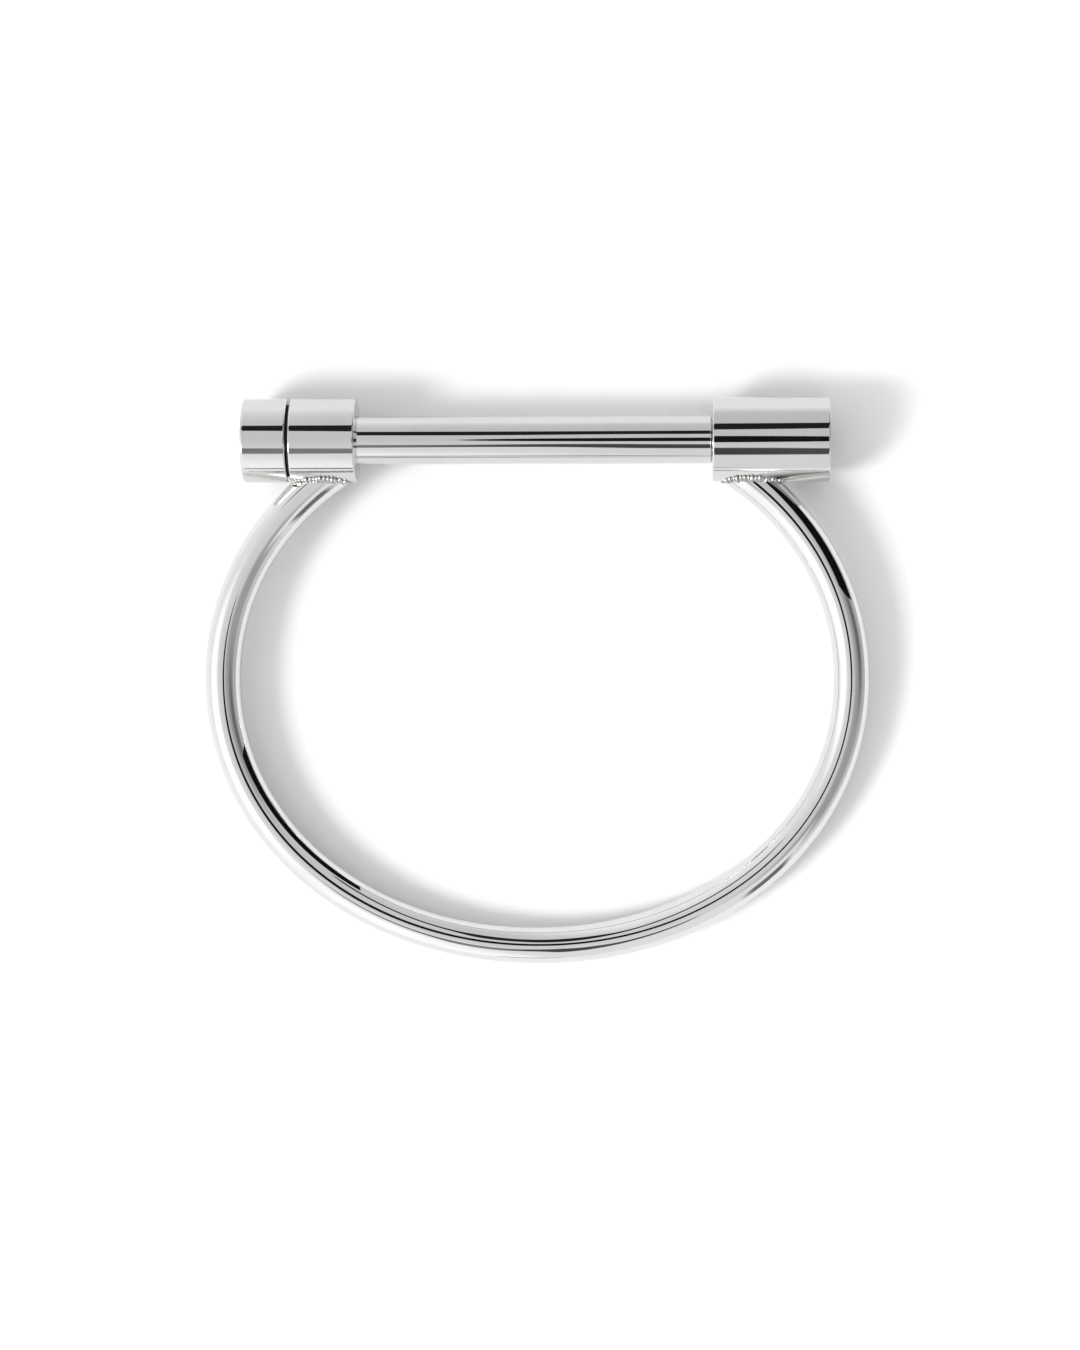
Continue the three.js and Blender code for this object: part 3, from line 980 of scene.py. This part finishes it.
card, inside, outside = new_group(
    "studio card", "ShaderNodeTree",
    [("Behind", "NodeSocketFloat", 0.5), ("Direction", "NodeSocketVector", None),
     ("Centre", "NodeSocketVector", None), ("Right", "NodeSocketVector", None),
     ("Down", "NodeSocketVector", None), ("Half Width", "NodeSocketFloat", 0.3),
     ("Half Height", "NodeSocketFloat", 0.3), ("Softness", "NodeSocketFloat", 0.05),
     ("Tone", "NodeSocketFloat", 1.0)],
    [("Light", "NodeSocketFloat", None)],
)
given = inside.outputs
EDGE_ON = 0.02    # directions further round than this never see the card
facing = vector_calc(card, "DOT_PRODUCT", given["Direction"], given["Centre"], output=1)
cover = calc(card, "GREATER_THAN", facing, EDGE_ON)
for side_name, half_name in (("Right", "Half Width"), ("Down", "Half Height")):
    aside = vector_calc(card, "DOT_PRODUCT", given["Direction"], given[side_name], output=1)
    slope = calc(card, "DIVIDE", calc(card, "ABSOLUTE", aside),
                 calc(card, "MAXIMUM", facing, EDGE_ON))
    mask = soft_edge(card, slope, given[half_name], given["Softness"])
    cover = calc(card, "MULTIPLY", cover, mask)
feed(card, outside.inputs["Light"], blend(card, cover, given["Behind"], given["Tone"]))
print("made the group:", card.name)

# %% World directions
world = bpy.data.worlds.new("studio")
bpy.context.scene.world = world
world.use_nodes = True
room = world.node_tree
room.nodes.clear()
direction = vector_calc(room, "NORMALIZE", add(room, "ShaderNodeTexCoord").outputs["Generated"])
axes = add(room, "ShaderNodeSeparateXYZ")
feed(room, axes.inputs[0], direction)
bearing = calc(room, "ARCTAN2", axes.outputs["Y"], axes.outputs["X"])
bearing = calc(room, "MULTIPLY_ADD", bearing, 1 / (2 * math.pi), 0.5)
from_top = calc(room, "MULTIPLY", calc(room, "ARCCOSINE", axes.outputs["Z"]), 180 / math.pi)


def hang(behind, azimuth, zenith, half_width, half_height, tone, softness):
    """Hangs a card in the studio; its half sizes and its softness are in degrees."""
    centre = toward(azimuth, zenith)
    right = Vector((-math.sin(math.radians(azimuth)), math.cos(math.radians(azimuth)), 0))
    node = use_group(room, card, Behind=behind, Direction=direction, Centre=centre, Right=right,
                     Down=centre.cross(right), Half_Width=math.tan(math.radians(half_width)),
                     Half_Height=math.tan(math.radians(half_height)),
                     Softness=math.tan(math.radians(softness)), Tone=tone)
    return node.outputs["Light"]


def hand_curve(values, scale):
    """A smooth curve of the bearing through (azimuth, value) points, in degrees."""
    node = add(room, "ShaderNodeFloatCurve")
    feed(room, node.inputs["Value"], bearing)
    places = [((azimuth + 180) % 360 / 360, value / scale) for azimuth, value in values]
    curve = node.mapping.curves[0]
    curve.points[0].location = (0, places[0][1])
    curve.points[1].location = (1, places[-1][1])
    for place in places:
        curve.points.new(*place)
    for point in curve.points:
        point.handle_type = "AUTO_CLAMPED"
    node.mapping.update()
    return calc(room, "MULTIPLY", node.outputs["Value"], scale)


def sew(behind, points, softness):
    """Draws a seam through (azimuth, zenith, half width, tone) points, in degrees."""
    centre, half, tone = (hand_curve([(point[0], point[k]) for point in points], scale)
                          for k, scale in ((1, 90), (2, 20), (3, 1)))
    offset = calc(room, "ABSOLUTE", calc(room, "SUBTRACT", from_top, centre))
    cover = soft_edge(room, offset, half, softness)
    cover = calc(room, "MULTIPLY", cover, calc(room, "MINIMUM", half, 1.0))
    return blend(room, cover, behind, tone)


# %% [markdown]
# The tent is brighter on the left, where the big light stands behind it, and greyer on the
# right. Cards are hung in order, each over the last, and the seams are sewn over them. What
# the table sees is simpler: only the tent and its broad cards, because narrow ones and thin
# seams make no difference to a matt surface.

# %% Hang the studio
leftness = calc(room, "MULTIPLY_ADD", axes.outputs["X"], -0.25, 0.81)
nearness = calc(room, "MULTIPLY_ADD", axes.outputs["Y"], -0.13, leftness)
ends = calc(room, "MULTIPLY", axes.outputs["Y"], axes.outputs["Y"])
light = calc(room, "MULTIPLY_ADD", ends, 0.42, nearness)
# azimuth, zenith, half width, half height, tone, softness
BROAD = [
    (198, 55, 24, 20, 1.5, 12),    # the large soft light on the left
    (205, 50, 8, 8, 28.0, 4),      # and the bright lamp behind its cloth
    (243, 60, 9, 15, 1.4, 5),      # a second, smaller light nearer the viewer
    (345, 45, 26, 24, 0.44, 12),   # the grey side of the tent
]
NARROW = [
    (68, 58, 26, 24, 0.76, 12),    # the far side of the tent, right of the middle
    (290, 68, 22, 28, 1.0, 3.5),   # and the near side
    (6, 53, 12, 12, 0.18, 9),      # the grey side's darkest fold
    (307, 80, 5, 18, 0.2, 2),      # a stand's post
]
for setting in BROAD:
    light = hang(light, *setting)
plain_light = light
for setting in NARROW:
    light = hang(light, *setting)
# azimuth, zenith, half width, tone
SEAMS = [
    ([(52, 47, 0, 0.02), (57, 47, 4.5, 0.02), (73, 42, 4, 0.02), (82, 37, 5.5, 0.02),
      (88, 32.5, 8.8, 0.02), (93, 31, 8, 0.02), (100, 29.5, 9.5, 0.02), (107, 30, 6, 0.02),
      (116, 35.5, 4, 0.02), (128, 40, 3.5, 0.02), (140, 40.5, 3, 0.02), (152, 41, 0, 0.02)], 1.2),
    ([(224, 25, 0, 0.05), (238, 27, 2.5, 0.05), (250, 29, 3.5, 0.08), (259, 33, 7.2, 0.3),
      (265, 30, 7, 0.08), (270, 36, 10, 0.08), (274, 36, 8, 0.1), (280, 34, 5, 0.05),
      (287, 33, 3, 0.05), (293, 34, 0, 0.05)], 1.8),
    ([(261, 86, 0, 0.35), (264, 86, 2.4, 0.35), (269, 86, 2.4, 0.35), (271, 86, 0, 0.35)], 1.0),
]
for points, softness in SEAMS:
    light = sew(light, points, softness)
print(f"broad cards {len(BROAD)}, narrow cards {len(NARROW)}, seams {len(SEAMS)}")


# %% Light the scene
def glow(colour):
    """A Background shader of that colour."""
    node = add(room, "ShaderNodeBackground")
    feed(room, node.inputs["Color"], colour)
    return node.outputs[0]


def choose(factor, first, second):
    """A Mix Shader."""
    node = add(room, "ShaderNodeMixShader")
    for socket, value in zip(node.inputs, (factor, first, second)):
        feed(room, socket, value)
    return node.outputs[0]


ray = add(room, "ShaderNodeLightPath").outputs
lit = choose(ray["Is Glossy Ray"], glow(plain_light), glow(light))
seen = choose(ray["Is Camera Ray"], lit, glow((1.0, 1.0, 1.0, 1)))
feed(room, add(room, "ShaderNodeOutputWorld").inputs["Surface"], seen)
bpy.context.scene.view_settings.view_transform = "Standard"

# %% [markdown]
# ## The camera
# It looks straight down from about 38 cm, a little to the right of the middle, which is why
# the guide barrel shows its inner end. It is turned slightly to bring the bow to the centre.

# %% Camera
CAMERA_HEIGHT = 383 * MM
CAMERA_SIDE = 17.4 * MM
FRAME_TALL = 143.8 * MM
AIM = Vector((0.45 * MM, AXIS_Y - 25.03 * MM, AXIS_Z))
camera_data = bpy.data.cameras.new("camera")
camera_data.sensor_width = 36
camera = bpy.data.objects.new("camera", camera_data)
bpy.context.scene.collection.objects.link(camera)
camera.location = (CAMERA_SIDE, AIM.y, CAMERA_HEIGHT)
camera.rotation_mode = "QUATERNION"
back = (camera.location - AIM).normalized()
side_axis = Vector((0, 1, 0)).cross(back).normalized()
up_axis = back.cross(side_axis)
camera.rotation_quaternion = Matrix((side_axis, up_axis, back)).transposed().to_quaternion()
distance = (camera.location - AIM).length
camera_data.lens = camera_data.sensor_width * distance / FRAME_TALL
camera_data.clip_start = 0.01
bpy.context.scene.camera = camera
print(f"lens {camera_data.lens:.1f} mm from {distance / MM:.0f} mm")
